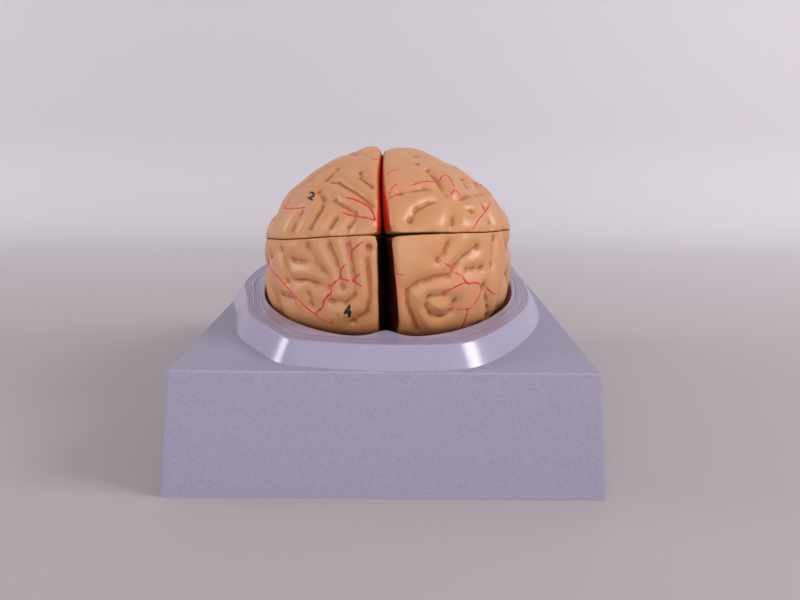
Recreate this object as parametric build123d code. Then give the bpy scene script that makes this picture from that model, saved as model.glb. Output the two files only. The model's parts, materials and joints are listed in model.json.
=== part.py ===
from build123d import *
import math
import os

# Anatomical brain model in eight pieces, seated in a skull-base cup on a desk stand.
# Millimetres. +Z is up, +Y points to the forehead and +X to the model's right side.
# The origin is on the desk, under the middle of the stand.

# Stand: a drafted shell moulding, open underneath
stand_width = 198.0
stand_length = 226.0
stand_height = 58.0
stand_draft = 6.0
stand_wall = 3.0
stand_corner_radius = 1.6
stand_inner_corner_radius = 0.5
stand_edge_radius = 1.0

# Skull-base cup: outlines of its rim top from the nape to the forehead, as (distance from
# the middle, place along Y). Its outer edge is wavy and has a corner at the left of the nape.
rim_outer_right = [
    (0, -99.5), (20, -99), (34, -96), (47.5, -84.5), (61, -64.5), (70, -47.5), (77.5, -27),
    (83, 8), (83.5, 28), (81.5, 52), (74, 77), (56, 92), (28, 98.5), (0, 98.5),
]
rim_outer_left = [
    (0, -99.5), (19, -98), (33, -95.5), (41.5, -93), (47.5, -87.5), (54, -79), (65, -63.5),
    (72, -47), (79, -20), (86.5, 6), (88, 28), (86.5, 54), (77, 78), (57, 92), (28, 98.5),
    (0, 98.5),
]
rim_inner_half = [
    (0, -79), (8.5, -85.5), (24, -84), (35.5, -76), (46, -65), (56, -50), (65, -31),
    (71, -9), (74.5, 17), (73.5, 46), (66, 66), (48, 80), (22, 86), (0, 86),
]
rim_height = 9.5
rim_flare = 6.5
rim_edge_radius = 0.8
cup_wall = 3.0
cup_taper_to_middle = 3.5
cup_taper_to_floor = 9.0
cup_middle_drop = 25.0
cup_floor_drop = 55.0
cup_opening_clearance = 0.6
fossa_step_place = 12.0
foramen_clearance = 1.0

# Brain: the seam plane passes through the brain's middle and falls to the forehead
brain_middle_y = 2.0
brain_middle_z = 98.5
seam_tilt_deg = 9.5
brain_half_width = 66.5
brain_half_length = 83.0
brain_rise = 50.0
brain_drop = 58.0
plan_roundness = 2.14
upper_roundness = 1.62
lower_roundness = 3.5
brain_base_level = 50.0
base_flatness = 30
seam_gap = 0.3

# Gap between the left and right pieces: at the middle, and how fast it opens towards the
# nape and, on the lower pieces, towards the base. The halves all but meet at the forehead.
midline_half_gap = 1.4
midline_gap_to_nape = 0.015
midline_gap_to_base = 0.045

# Relief of the outer surface
furrow_depth = 2.2
furrow_width = 2.8
crown_swell = 0.45
swell_start = 2.0
swell_reach = 9.0
edge_drop = 1.1
edge_width = 1.7
corner_drop_share = 1.2
smooth_base_share = (0.88, 0.98)
pole_cap_radius = 2.0
pole_cap_drop = 1.2
fold_pitch = 30.0
fold_wave_count = 15
fold_wave_turn = 2.4
fold_slope_floor = 0.07
folds_from_deg = (40, 58)
relief_rows = 46
relief_columns = 116
row_crowding = 0.5

# Furrows that the nape side shows, as chains of places on a lobe: degrees from the
# rear pole, and degrees from the midline round to the seam
furrows = {
    "upper_left": [
        [(33, 44), (30, 40), (18, 29), (10, 12)],
        [(30, 19), (26, 20), (19, 9)],
        [(43, 35), (37, 46)],
        [(33, 55), (26, 58), (24, 66), (26, 88)],
        [(33, 74), (35, 88)],
        [(16, 66), (18, 88)],
        [(10, 58), (11, 84)],
        [(22, 53), (11, 48)],
    ],
    "upper_right": [
        [(8, 56), (12, 48), (17, 51), (22, 57), (23, 64), (22, 74), (20, 86)],
        [(16, 18), (22, 37), (24, 47), (25, 62)],
        [(36, 30), (30, 42), (25, 52), (26, 65), (36, 64), (50, 66)],
        [(48, 52), (42, 59)],
        [(26, 67), (31, 75)],
        [(41, 75), (40, 88)],
    ],
    "lower_left": [
        [(5, 36), (8, 27), (13, 14), (19, 8), (25, 9), (30, 16)],
        [(10, 80), (12, 46), (16, 28), (20, 22), (24, 26), (26, 35)],
        [(17, 83), (16, 62), (18, 42), (20, 34)],
        [(26, 85), (23, 69), (21, 54), (23, 44)],
        [(41, 84), (38, 73), (38, 64)],
        [(34, 76), (24, 69)],
        [(39, 65), (30, 59), (24, 48)],
        [(31, 51), (33, 44)],
        [(46, 58), (40, 54)],
    ],
    "lower_right": [
        [(20, 87), (18, 70), (17, 60)],
        [(31, 80), (26, 71), (23, 60)],
        [(28, 64), (35, 68)],
        [(23, 54), (19, 44), (17, 27), (18, 13), (22, 10), (39, 14)],
        [(26, 40), (23, 29), (25, 24), (29, 25), (32, 30), (32, 37), (30, 42)],
        [(42, 86), (41, 72)],
        [(39, 60), (55, 48)],
    ],
}

# Locating pins, pressed into the lower lobes; the upper lobes lift off theirs
pin_radius = 1.5
pin_length = 16.0
pin_fit = 0.05
pin_running_clearance = 0.15
pin_end_clearance = 0.4
pin_end_chamfer = 0.4
lobe_pin_side = 32.0
lobe_pin_places = (-42.0, 40.0)
midline_pin_places = (-15.0, 45.0)
midline_pin_drop = 24.0
midline_pin_length = 26.0

# Cerebellum halves: buns with level folia, under the rear of the lower lobes
cerebellum_radius = 23.0
cerebellum_height = 26.0
cerebellum_side = 21.0
cerebellum_rear_inset = 41.0
cerebellum_pin_side = 24.0
cerebellum_foot_deg = 10.0
cerebellum_side_fullness = 0.8
cerebellum_foot_fullness = 0.9
folium_count = 6
folium_swell = 1.1
hind_piece_gap = 0.3
hind_half_gap = 1.0

# Brainstem halves: oval sections, as (drop below the lobes, half width, half length, place)
stem_sections = [
    (0, 13, 12, -3), (8, 16, 13.5, -3), (17, 13, 10.5, -5), (26, 9.5, 8, -8), (36, 8, 6.5, -10),
]
stem_pin_side = 8.5

# Ventricle recess in each seam face
ventricle_depth = 5.0
ventricle_width = 8.0
ventricle_length = 48.0
ventricle_side = 13.0


def opening(side, upper):
    """Brain frame (side, forward, rise) to the part's frame, with the midline gap opened."""
    growth = 0 if upper else -midline_gap_to_base
    c, s = math.cos(tilt), math.sin(tilt)
    return [
        [side, -side * midline_gap_to_nape, side * growth, side * midline_half_gap],
        [0, c, s, brain_middle_y],
        [0, -s, c, brain_middle_z],
    ]


def carried(point, frame):
    """A point of the brain's own frame, in the part's frame."""
    return Vector(*(row[3] + sum(r * p for r, p in zip(row, tuple(point))) for row in frame))


def direction(theta, phi):
    """Unit direction from rear-pole angle and midline-to-seam angle, in degrees."""
    t, p = math.radians(theta), math.radians(phi)
    return (math.sin(t) * math.sin(p), -math.cos(t), math.sin(t) * math.cos(p))


def base_radius(ray, upper):
    """Distance from the brain's middle to its smooth outer form."""
    x, along, rise = ray
    plan = (x / brain_half_width) ** plan_roundness
    plan += abs(along / brain_half_length) ** plan_roundness
    plan **= 1 / plan_roundness
    power = upper_roundness if upper else lower_roundness
    height = brain_rise if upper else brain_drop
    radius = (plan**power + (rise / height) ** power) ** (-1 / power)
    if upper or rise <= 0:
        return radius
    flat = brain_base_level / rise
    return (radius**-base_flatness + flat**-base_flatness) ** (-1 / base_flatness)


def smooth_step(value, low, high):
    share = min(max((value - low) / (high - low), 0.0), 1.0)
    return share * share * (3 - 2 * share)


def chain_distance(ray, chain):
    """Shortest distance from a unit direction to a chain of unit directions."""
    best = math.inf
    for a, b in zip(chain, chain[1:]):
        run = [q - p for p, q in zip(a, b)]
        reach = [q - p for p, q in zip(a, ray)]
        share = sum(u * v for u, v in zip(run, reach)) / sum(u * u for u in run)
        share = min(max(share, 0.0), 1.0)
        away = math.dist(ray, [p + share * u for p, u in zip(a, run)])
        best = min(best, away)
    return best


def fold_waves():
    """Evenly spread wave vectors whose sum gives winding, evenly spaced folds."""
    waves = []
    golden = math.pi * (3 - math.sqrt(5))
    number = 2 * math.pi / fold_pitch
    for k in range(fold_wave_count):
        up = 1 - (2 * k + 1) / (2 * fold_wave_count)
        flat = math.sqrt(1 - up * up)
        turn = golden * k
        waves.append(
            (
                number * flat * math.cos(turn),
                number * flat * math.sin(turn),
                number * up,
                fold_wave_turn * k,
            )
        )
    return waves


waves = fold_waves()


def fold_distance(point):
    """About how far a point is from the nearest furrow of the winding folds."""
    value = 0.0
    slope = [0.0, 0.0, 0.0]
    for wave in waves:
        phase = sum(w * p for w, p in zip(wave, point)) + wave[3]
        value += math.cos(phase)
        slope = [total - w * math.sin(phase) for total, w in zip(slope, wave)]
    scale = math.sqrt(fold_wave_count / 2)
    return abs(value) / math.hypot(*slope, fold_slope_floor * scale)


def relief(ray, theta, radius, side, upper, chains):
    """Height of the folded surface over the smooth form, furrows being negative."""
    x, along, rise = [radius * value for value in ray]
    level = 1 if upper else -1
    fold = fold_distance((side * x, along, level * rise))
    hidden = smooth_step(theta, *folds_from_deg)
    open_share = 1 - hidden * math.exp(-((fold / furrow_width) ** 2))
    nearest = fold if hidden > 0.5 else math.inf
    for chain in chains:
        away = radius * chain_distance(ray, chain)
        nearest = min(nearest, away)
        open_share *= 1 - math.exp(-((away / furrow_width) ** 2))
    height = -furrow_depth * (1 - open_share)
    height += crown_swell * smooth_step(nearest, swell_start, swell_reach)
    if not upper:
        height *= 1 - smooth_step(rise / brain_base_level, *smooth_base_share)
    edge = math.exp(-((x / edge_width) ** 2)) + math.exp(-((rise / edge_width) ** 2))
    return height - edge_drop * min(edge, corner_drop_share)


def relief_sections(side, upper, chains):
    """Curves across a lobe's outer surface, each from the midline face to the seam face."""
    level = 1 if upper else -1
    first = math.degrees(math.asin(2 * pole_cap_radius / brain_half_length))
    places = [k / (relief_rows - 1) for k in range(relief_rows)]
    turns = [90 * (t - row_crowding * math.sin(2 * math.pi * t) / (2 * math.pi)) for t in places]
    sections = []
    for column in range(relief_columns):
        points = []
        for phi in turns:
            if column in (0, relief_columns - 1):
                end = -1 if column == 0 else 1
                x = pole_cap_radius * math.sin(math.radians(phi))
                along = end * (brain_half_length - pole_cap_drop)
                rise = pole_cap_radius * math.cos(math.radians(phi))
            else:
                theta = first + (180 - 2 * first) * (column - 1) / (relief_columns - 3)
                ray = direction(theta, phi)
                radius = base_radius(ray, upper)
                radius += relief(ray, theta, radius, side, upper, chains)
                x, along, rise = [radius * value for value in ray]
            points.append(Vector(x, along, level * (rise + seam_gap / 2)))
        sections.append(Edge.make_spline(points, parameters=places))
    return sections


def nearest_edge(shape, a, b):
    """The edge of a shape that runs between two points."""
    return min(
        shape.edges(),
        key=lambda e: min(
            (e @ 0 - a).length + (e @ 1 - b).length, (e @ 0 - b).length + (e @ 1 - a).length
        ),
    )


def lobe(side, upper, name):
    """One brain quarter: folded outer surface, flat midline and seam faces, pole caps."""
    chains = [[direction(*spot) for spot in chain] for chain in furrows[name]]
    sections = relief_sections(side, upper, chains)
    frame = opening(side, upper)
    outer = Shell.make_loft([Wire([section]) for section in sections]).faces()[0]
    outer = outer.transform_geometry(Matrix(frame))
    level = 1 if upper else -1
    end = brain_half_length - pole_cap_drop
    rear = carried((0, -end, level * seam_gap / 2), frame)
    front = carried((0, end, level * seam_gap / 2), frame)
    crown = [carried(sections[k] @ 0, frame) for k in (0, -1)]
    seam = [carried(sections[k] @ 1, frame) for k in (0, -1)]
    spine = Edge.make_line(rear, front)
    crown_spokes = [Edge.make_line(rear, crown[0]), Edge.make_line(front, crown[1])]
    seam_spokes = [Edge.make_line(rear, seam[0]), Edge.make_line(front, seam[1])]
    faces = [
        outer,
        Face(Wire([nearest_edge(outer, *crown), *crown_spokes, spine])),
        Face(Wire([nearest_edge(outer, *seam), *seam_spokes, spine])),
        Face(Wire([nearest_edge(outer, crown[0], seam[0]), crown_spokes[0], seam_spokes[0]])),
        Face(Wire([nearest_edge(outer, crown[1], seam[1]), crown_spokes[1], seam_spokes[1]])),
    ]
    return Solid(Shell(faces))


def brain_plane(x=0.0, along=0.0, rise=0.0):
    """Plane square to the seam's normal, at a place given in the brain's own frame."""
    c, s = math.cos(tilt), math.sin(tilt)
    origin = (x, brain_middle_y + along * c + rise * s, brain_middle_z - along * s + rise * c)
    return Plane(origin=origin, x_dir=(1, 0, 0), z_dir=(0, s, c))


def upright_bore(x, along, rise, radius, reach):
    """Round bore square to the seam, running from a level up by its reach."""
    span = Cylinder(radius, abs(reach), align=(Align.CENTER, Align.CENTER, Align.MIN))
    return brain_plane(x, along, min(rise, rise + reach)) * span


def level_bore(along, rise, radius, reach):
    """Round bore across the midline, as long to the left as to the right."""
    return brain_plane(0, along, rise) * (Rot(0, 90, 0) * Cylinder(radius, 2 * reach))


def ventricle(side, upper):
    """Oval recess of the side ventricle, sunk into a seam face."""
    level = 1 if upper else -1
    slot = Rot(0, 0, 90) * SlotOverall(ventricle_length, ventricle_width)
    mouth = brain_plane(side * ventricle_side, 0, level * (seam_gap / 2 - 1))
    return extrude(mouth * slot, level * (ventricle_depth + 1))


def bored_lobe(side, upper, name):
    """A lobe with its ventricle recess and the bores for its pins."""
    level = 1 if upper else -1
    clearance = pin_running_clearance if upper else pin_fit
    radius = pin_radius + clearance
    deep = pin_length / 2 + pin_end_clearance
    piece = lobe(side, upper, name) - ventricle(side, upper)
    for along in lobe_pin_places:
        piece -= upright_bore(side * lobe_pin_side, along, 0, radius, level * deep)
    if upper:
        return piece
    for along in midline_pin_places:
        across = midline_pin_length / 2 + pin_end_clearance
        piece -= level_bore(along, -midline_pin_drop, radius, across)
    for x, along in hind_pin_places():
        piece -= upright_bore(side * x, along, -hind_top - deep, radius, 2 * deep)
    return piece


def hind_pin_places():
    """Side and forward places of the pins that carry a cerebellum and a brainstem half."""
    return [(cerebellum_pin_side, cerebellum_place), (stem_pin_side, stem_sections[0][3])]


def pin(plane, length):
    """Steel pin with chamfered ends, centred on a plane and square to it."""
    rod = Cylinder(pin_radius, length)
    return plane * chamfer(rod.edges().filter_by(GeomType.CIRCLE), pin_end_chamfer)


def upright_pins(side):
    return [
        pin(brain_plane(side * lobe_pin_side, along), pin_length) for along in lobe_pin_places
    ]


def midline_pins():
    pins = []
    for along in midline_pin_places:
        level = brain_plane(0, along, -midline_pin_drop)
        pins.append(pin(Plane(origin=level.origin, z_dir=(1, 0, 0)), midline_pin_length))
    return pins


def hind_pins(side):
    return [
        pin(brain_plane(side * x, along, -hind_top), pin_length)
        for x, along in hind_pin_places()
    ]


def cerebellum_profile():
    """Half section of a cerebellum bun, its edge scalloped into folia."""
    spots = []
    for k in range(folium_count + 1):
        degrees = cerebellum_foot_deg + (90 - cerebellum_foot_deg) * k / folium_count
        turn = math.radians(degrees)
        out = cerebellum_radius * math.sin(turn) ** cerebellum_side_fullness
        spots.append((out, -cerebellum_height * math.cos(turn) ** cerebellum_foot_fullness))
    spots[-1] = (cerebellum_radius, 0)
    edges = [Line((0, -cerebellum_height), (spots[0][0], -cerebellum_height))]
    spots[0] = (spots[0][0], -cerebellum_height)
    for a, b in zip(spots, spots[1:]):
        run = Vector(b[0] - a[0], b[1] - a[1])
        out = Vector(run.Y, -run.X).normalized() * folium_swell
        middle = ((a[0] + b[0]) / 2 + out.X, (a[1] + b[1]) / 2 + out.Y)
        edges.append(ThreePointArc(a, middle, b))
    edges.append(Polyline((cerebellum_radius, 0), (0, 0), (0, -cerebellum_height)))
    return make_face(edges)


def midline_cut(side):
    """Block that takes away the far side of a hind piece and the gap at the midline."""
    block = Box(stand_width, stand_length, 2 * stand_length)
    return Pos(side * (hind_half_gap - stand_width / 2), 0, 0) * block


def cerebellum(side):
    """One cerebellum half: a scalloped bun with a flat midline face and a pin bore."""
    bun = revolve(Plane.XZ * cerebellum_profile(), Axis.Z)
    seat = brain_plane(side * cerebellum_side, cerebellum_place, -hind_top)
    deep = pin_length / 2 + pin_end_clearance
    bore = upright_bore(
        side * cerebellum_pin_side, cerebellum_place, -hind_top, pin_radius + pin_fit, -deep
    )
    return seat * bun - midline_cut(side) - bore


def brainstem(side):
    """One brainstem half: midbrain, pons and medulla as a loft through oval sections."""
    sections = [
        brain_plane(0, along, -hind_top - drop) * Ellipse(wide, long)
        for drop, wide, long, along in stem_sections
    ]
    deep = pin_length / 2 + pin_end_clearance
    bore = upright_bore(
        side * stem_pin_side, stem_sections[0][3], -hind_top, pin_radius + pin_fit, -deep
    )
    return loft(sections) - midline_cut(side) - bore


def outline_wire(right, left, growth, z):
    """Closed smooth outline at a level, from its two sides grown outwards by a length."""
    wide = 1 + growth / max(x for x, y in right)
    long = 1 + growth / max(y for x, y in right)
    ring = [(x, y) for x, y in right] + [(-x, y) for x, y in left[-2:0:-1]]
    widest = max(range(len(ring)), key=lambda k: ring[k][0])
    spots = [Vector(x * wide, y * long, z) for x, y in ring[widest:] + ring[:widest]]
    return Wire([Edge.make_spline(spots, periodic=True)])


def rim_outer_wire(growth, z):
    return outline_wire(rim_outer_right, rim_outer_left, growth, z)


def rim_inner_wire(growth, z):
    return outline_wire(rim_inner_half, rim_inner_half, growth, z)


def bowl(growth, lowest, top):
    """Bowl shape of the cup's inside grown by a length, over a floor square to the seam."""
    sections = [
        rim_inner_wire(growth, top),
        rim_inner_wire(growth - cup_taper_to_middle, rim_top - cup_middle_drop),
        rim_inner_wire(growth - cup_taper_to_floor, rim_top - cup_floor_drop),
    ]
    form = Solid.make_loft(sections)
    under = Box(stand_length, stand_length, rim_top, align=(Align.CENTER, Align.CENTER, Align.MAX))
    step = Box(stand_length, stand_length, rim_top, align=(Align.CENTER, Align.MIN, Align.MAX))
    form -= brain_plane(0, 0, -lowest - growth) * under
    return form - brain_plane(0, fossa_step_place + growth, -hind_top - growth) * step


def cup():
    """Skull-base cup: flared wavy rim, and a bowl with a high front and a deep rear fossa."""
    rim = Solid.make_loft(
        [rim_outer_wire(rim_flare, stand_height), rim_outer_wire(0, rim_top)], ruled=True
    )
    outside = bowl(cup_wall, cup_floor_level, rim_top - 2 * rim_edge_radius)
    form = rim + outside - bowl(0, cup_floor_level, rim_top)
    top_edges = form.faces().filter_by(Axis.Z).sort_by(Axis.Z)[-1].edges()
    form = fillet(top_edges, rim_edge_radius)
    medulla = stem_sections[-2]
    foramen_radius = medulla[1] + foramen_clearance
    below = -cup_floor_level - 2 * cup_wall
    return form - upright_bore(0, medulla[3], below, foramen_radius, 3 * cup_wall)


def stand_form(inset, top, radius):
    """Drafted block of the stand, inset by a wall and up to a level."""
    drop = stand_draft * top / stand_height
    foot = RectangleRounded(stand_width - 2 * inset, stand_length - 2 * inset, radius)
    head = RectangleRounded(
        stand_width - 2 * (drop + inset), stand_length - 2 * (drop + inset), radius
    )
    return loft([foot, Pos(0, 0, top) * head])


def stand():
    """Stand housing: thin drafted walls, open underneath, its top open for the cup."""
    block = stand_form(0, stand_height, stand_corner_radius)
    top_edges = block.faces().sort_by(Axis.Z)[-1].edges()
    block = fillet(top_edges, stand_edge_radius)
    block -= stand_form(stand_wall, stand_height - stand_wall, stand_inner_corner_radius)
    growth = cup_wall + cup_opening_clearance
    mouth = Face(rim_inner_wire(growth, stand_height - 2 * stand_wall))
    return block - extrude(mouth, 3 * stand_wall, dir=(0, 0, 1))


def write(name, solids):
    """Write one or several solids as a part's file."""
    shape = solids[0] if len(solids) == 1 else Compound(children=solids)
    export_step(shape, f"parts/{name}.step")


tilt = math.radians(seam_tilt_deg)
rim_top = stand_height + rim_height
cerebellum_place = cerebellum_rear_inset - brain_half_length
hind_top = brain_base_level + seam_gap / 2 + hind_piece_gap
cup_floor_level = hind_top + cerebellum_height + folium_swell / 2

os.makedirs("parts", exist_ok=True)
write("stand_housing", [stand()])
write("skull_base_cup", [cup()])
for side, word in ((-1, "left"), (1, "right")):
    write(f"upper_{word}_lobe", [bored_lobe(side, True, f"upper_{word}")])
    write(f"lower_{word}_lobe", [bored_lobe(side, False, f"lower_{word}")])
    write(f"{word}_cerebellum", [cerebellum(side)])
    write(f"{word}_brainstem", [brainstem(side)])
    write(f"{word}_lobe_pins", upright_pins(side))
write("midline_pins", midline_pins())
write("hind_pins", hind_pins(-1) + hind_pins(1))
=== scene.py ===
import json
import math
import random

import bmesh
import bpy
import numpy as np
from mathutils import Matrix, Vector
from mathutils.bvhtree import BVHTree
from mathutils.kdtree import KDTree

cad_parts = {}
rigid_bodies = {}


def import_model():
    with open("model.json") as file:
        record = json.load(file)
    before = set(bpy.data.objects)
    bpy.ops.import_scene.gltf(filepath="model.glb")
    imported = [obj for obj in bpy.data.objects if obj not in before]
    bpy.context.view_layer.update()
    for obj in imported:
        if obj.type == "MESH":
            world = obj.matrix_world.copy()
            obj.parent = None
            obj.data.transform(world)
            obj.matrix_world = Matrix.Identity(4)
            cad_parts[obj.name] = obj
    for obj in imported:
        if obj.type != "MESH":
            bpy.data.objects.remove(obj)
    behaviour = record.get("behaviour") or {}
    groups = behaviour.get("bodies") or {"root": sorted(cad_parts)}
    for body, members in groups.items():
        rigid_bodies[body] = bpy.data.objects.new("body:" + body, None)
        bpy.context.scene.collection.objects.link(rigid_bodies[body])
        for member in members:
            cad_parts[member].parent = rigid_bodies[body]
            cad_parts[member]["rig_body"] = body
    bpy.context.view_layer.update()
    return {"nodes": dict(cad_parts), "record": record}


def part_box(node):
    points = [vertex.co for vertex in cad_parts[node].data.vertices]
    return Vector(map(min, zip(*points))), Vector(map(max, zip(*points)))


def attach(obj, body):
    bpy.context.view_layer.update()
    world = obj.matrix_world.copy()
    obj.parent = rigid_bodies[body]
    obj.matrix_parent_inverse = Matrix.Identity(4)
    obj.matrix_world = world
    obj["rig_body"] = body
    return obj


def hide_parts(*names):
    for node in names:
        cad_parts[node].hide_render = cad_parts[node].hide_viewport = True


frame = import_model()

# Stand housing: a drafted box moulded in one piece of lavender ABS, open underneath, with a mouth
# in its top for the cup. It is left as it comes from the mould: satin and faintly grainy.
stand_colour = "9992A9"
stand_speck_colour = "8F889F"
# The mould's real grain is finer than this, which is as coarse as it needs to be to show.
mould_grain = 0.0012


def srgb(code):
    """An sRGB hex colour as the linear colour that shaders take."""
    channels = [int(code[k:k + 2], 16) / 255 for k in (0, 2, 4)]
    return [c / 12.92 if c <= 0.04045 else ((c + 0.055) / 1.055) ** 2.4 for c in channels] + [1.0]


def add_node(tree, kind, settings=None, links=None):
    """Add a node: settings are properties in lower case or sockets, links say what feeds a socket."""
    new = tree.nodes.new(kind)
    for key, value in (settings or {}).items():
        if isinstance(key, str) and key.islower():
            setattr(new, key, value)
        else:
            new.inputs[key].default_value = value
    for key, source in (links or {}).items():
        tree.links.new(source, new.inputs[key])
    return new


def new_material(name, settings):
    """A material whose shader has the given settings, with its node tree and its coordinates."""
    material = bpy.data.materials.new(name)
    material.use_nodes = True
    tree = material.node_tree
    tree.nodes.clear()
    shader = add_node(tree, "ShaderNodeBsdfPrincipled", settings)
    add_node(tree, "ShaderNodeOutputMaterial", {}, {"Surface": shader.outputs[0]})
    place = add_node(tree, "ShaderNodeTexCoord").outputs["Object"]
    return material, tree, shader, place


def moulded_abs(name, colour, speck_colour, roughness, grain):
    """Moulded ABS: an even colour with faint specks, and the fine grain of the mould's face."""
    material, tree, shader, place = new_material(name, {"Roughness": roughness, "IOR": 1.53})
    specks = add_node(
        tree,
        "ShaderNodeTexNoise",
        {"Scale": 1 / grain, "Detail": 3.0, "Roughness": 0.7},
        {"Vector": place},
    )
    speck_share = add_node(
        tree, "ShaderNodeMapRange", {"From Min": 0.42, "From Max": 0.66}, {"Value": specks.outputs[0]}
    )
    mixed = add_node(
        tree,
        "ShaderNodeMix",
        {"data_type": "RGBA", 6: srgb(colour), 7: srgb(speck_colour)},
        {0: speck_share.outputs[0]},
    ).outputs[2]
    bump = add_node(
        tree, "ShaderNodeBump", {"Strength": 0.2, "Distance": 0.00008}, {"Height": specks.outputs[0]}
    )
    tree.links.new(mixed, shader.inputs["Base Color"])
    tree.links.new(bump.outputs[0], shader.inputs["Normal"])
    return material, tree, shader, place, mixed


def dress(node, material):
    """Give a CAD node its material."""
    frame["nodes"][node].material_slots[0].material = material


stand_abs = moulded_abs(
    "satin_moulded_abs", stand_colour, stand_speck_colour, 0.5, mould_grain
)[0]
dress("stand_housing", stand_abs)

# Skull-base cup: one moulding of the same lavender plastic with a glossier face, which drops into
# the stand's mouth. Its rim is flared and wavy, and its bowl is tinted maroon: painted reflected light
# from the brain's warm vinyl.
cup_colour = "9F97AF"
cup_speck_colour = "9A92AA"
# The bowl's maroon tint is painted reflected light from the brain's warm vinyl.
bowl_reflection_colour = "A4727A"
bowl_mouth_place = 0.01
rim_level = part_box("skull_base_cup")[1].z
cup_abs, tree, shader, place, lavender = moulded_abs(
    "glossy_moulded_abs", cup_colour, cup_speck_colour, 0.2, mould_grain
)
to_mouth = add_node(
    tree,
    "ShaderNodeVectorMath",
    {"operation": "SUBTRACT", 0: (0, bowl_mouth_place, rim_level)},
    {1: place},
)
way_in = add_node(tree, "ShaderNodeVectorMath", {"operation": "NORMALIZE"}, {0: to_mouth.outputs[0]})
inwards = add_node(
    tree,
    "ShaderNodeVectorMath",
    {"operation": "DOT_PRODUCT"},
    {0: way_in.outputs[0], 1: add_node(tree, "ShaderNodeTexCoord").outputs["Normal"]},
)
# How much painted reflected light a face takes: those that turn into the bowl take it all.
bowl_reflection_share = add_node(
    tree,
    "ShaderNodeMapRange",
    {"From Min": 0.12, "From Max": 0.32},
    {"Value": inwards.outputs["Value"]},
)
reflection_tinted = add_node(
    tree,
    "ShaderNodeMix",
    {"data_type": "RGBA", 7: srgb(bowl_reflection_colour)},
    {0: bowl_reflection_share.outputs[0], 6: lavender},
)
tree.links.new(reflection_tinted.outputs[2], shader.inputs["Base Color"])
dress("skull_base_cup", cup_abs)

# Rim contours: fine steps that the mould's cutter left round the flat top of the rim, as lines
# that run side by side with its wavy outer edge. They are darker than the rim: dust, and painted shade
# in the steps.
contour_dust_and_shade_colour = "7B6C88"
contour_count = 6
contour_first_inset = 0.0009
contour_pitch = 0.0014
contour_wander = 0.0004
contour_waves = ((4, 1.7, 1.0), (9, 2.9, 0.5))
contour_wander_full_line = 3
contour_half_width = 0.00026
contour_sink = 0.6
contour_samples = 360


def new_tree(name, inputs):
    """A geometry tree with named inputs, each given as its socket kind and default."""
    tree = bpy.data.node_groups.new(name, "GeometryNodeTree")
    tree.interface.new_socket("Geometry", in_out="INPUT", socket_type="NodeSocketGeometry")
    for label, (kind, value) in inputs.items():
        socket = tree.interface.new_socket(label, in_out="INPUT", socket_type=kind)
        if value is not None:
            socket.default_value = value
    tree.interface.new_socket("Geometry", in_out="OUTPUT", socket_type="NodeSocketGeometry")
    return tree, add_node(tree, "NodeGroupInput").outputs


def end_tree(tree, geometry, material):
    """Finish a tree: real geometry, its material, and the way out."""
    real = add_node(tree, "GeometryNodeRealizeInstances", {}, {"Geometry": geometry})
    painted = add_node(
        tree, "GeometryNodeSetMaterial", {}, {"Geometry": real.outputs[0], "Material": material}
    )
    add_node(tree, "NodeGroupOutput", {}, {"Geometry": painted.outputs[0]})


def run_tree(piece, tree, inputs):
    """Run a tree on a piece, with its inputs set by identifier, and keep the plain mesh."""
    modifier = piece.modifiers.new(tree.name, "NODES")
    modifier.node_group = tree
    labels = {
        item.name: item.identifier
        for item in tree.interface.items_tree
        if item.item_type == "SOCKET" and item.in_out == "INPUT"
    }
    for label, value in inputs.items():
        modifier[labels[label]] = value
    settle(piece)


def settle(piece):
    """Turn a piece's modifiers into its plain mesh and take them off."""
    bpy.context.view_layer.update()
    done = piece.evaluated_get(bpy.context.evaluated_depsgraph_get())
    mesh = bpy.data.meshes.new_from_object(done)
    old = piece.data
    piece.modifiers.clear()
    piece.data = mesh
    mesh.name = piece.name
    bpy.data.meshes.remove(old)


def add_piece(name, mesh):
    piece = bpy.data.objects.new(name, mesh)
    bpy.context.scene.collection.objects.link(piece)
    return piece


def tube_tree():
    """Lines to round tubes whose radius is the line's own girth."""
    tree, given = new_tree(
        "tubes_along_lines",
        {"Sides": ("NodeSocketInt", 8), "Material": ("NodeSocketMaterial", None)},
    )
    curve = add_node(tree, "GeometryNodeMeshToCurve", {}, {"Mesh": given["Geometry"]})
    girth = add_node(
        tree, "GeometryNodeInputNamedAttribute", {"data_type": "FLOAT", "Name": "girth"}
    )
    ring = add_node(
        tree, "GeometryNodeCurvePrimitiveCircle", {"Radius": 1.0}, {"Resolution": given["Sides"]}
    )
    tube = add_node(
        tree,
        "GeometryNodeCurveToMesh",
        {"Fill Caps": True},
        {
            "Curve": curve.outputs[0],
            "Profile Curve": ring.outputs[0],
            "Scale": girth.outputs["Attribute"],
        },
    )
    end_tree(tree, tube.outputs[0], given["Material"])
    return tree


tubes_along_lines = tube_tree()


def lines_piece(name, lines, material, closed=False):
    """A piece of thin round strokes along lines, each a list of (point, girth)."""
    points, edges, girths = [], [], []
    for line in lines:
        first = len(points)
        points += [spot[0] for spot in line]
        girths += [spot[1] for spot in line]
        edges += [(first + k, first + k + 1) for k in range(len(line) - 1)]
        if closed:
            edges.append((len(points) - 1, first))
    mesh = bpy.data.meshes.new(name)
    mesh.from_pydata(points, edges, [])
    mesh.attributes.new("girth", "FLOAT", "POINT").data.foreach_set("value", girths)
    piece = add_piece(name, mesh)
    run_tree(piece, tubes_along_lines, {"Sides": 8, "Material": material})
    piece.data.shade_smooth()
    return piece


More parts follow.
